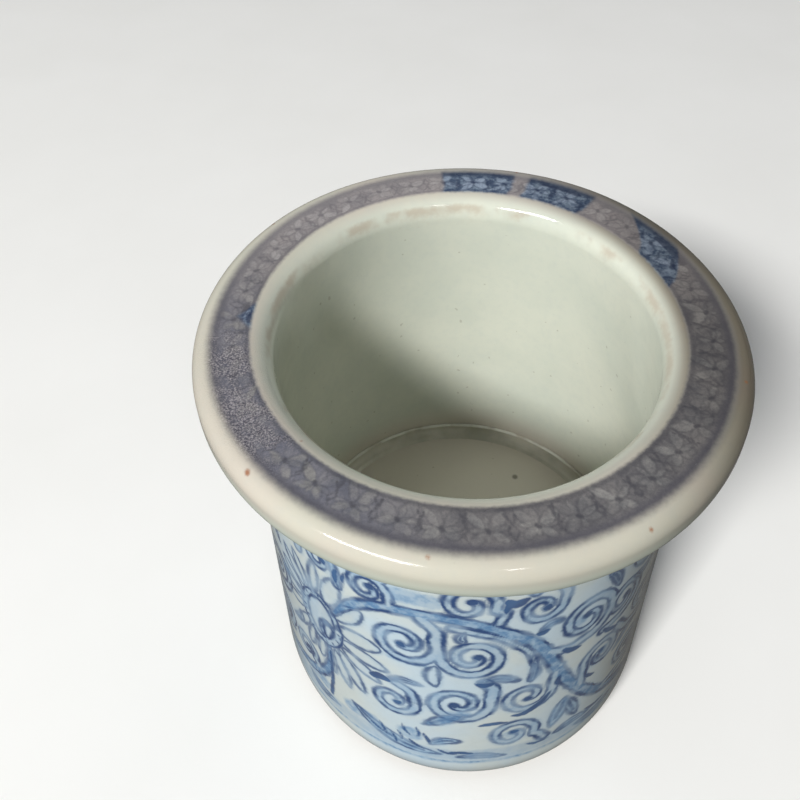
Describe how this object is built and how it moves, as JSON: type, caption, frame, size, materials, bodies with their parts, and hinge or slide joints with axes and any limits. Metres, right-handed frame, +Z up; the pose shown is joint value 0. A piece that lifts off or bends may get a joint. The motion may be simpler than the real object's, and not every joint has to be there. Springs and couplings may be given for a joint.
{
  "type": "brush pot",
  "caption": "Round porcelain brush pot with a wide flat rim, thick wall and foot ring; holds calligraphy brushes upright.",
  "frame": {"origin": "centre of the foot ring's resting plane", "axes": "+Z up the pot's axis, out of the mouth; -Y is the side with the flower and scroll vine, +X is to its right"},
  "size_m": [0.12, 0.12, 0.118],
  "materials": {
    "printed_rim_porcelain": "cream glaze over a grey-violet printed band",
    "painted_wall_porcelain": "glossy blue-white glaze over cobalt painting",
    "painted_base_porcelain": "glossy blue-white glaze over cobalt lines",
    "foot_porcelain": "glazed outside, bare at the foot",
    "glazed_porcelain": "glossy pale celadon glaze"
  },
  "bodies": {
    "root": {"rim_flange": "printed_rim_porcelain", "pot_wall": "painted_wall_porcelain", "base_slab": "painted_base_porcelain", "foot_ring": "foot_porcelain", "seam_coil": "glazed_porcelain"}
  },
  "joints": []
}
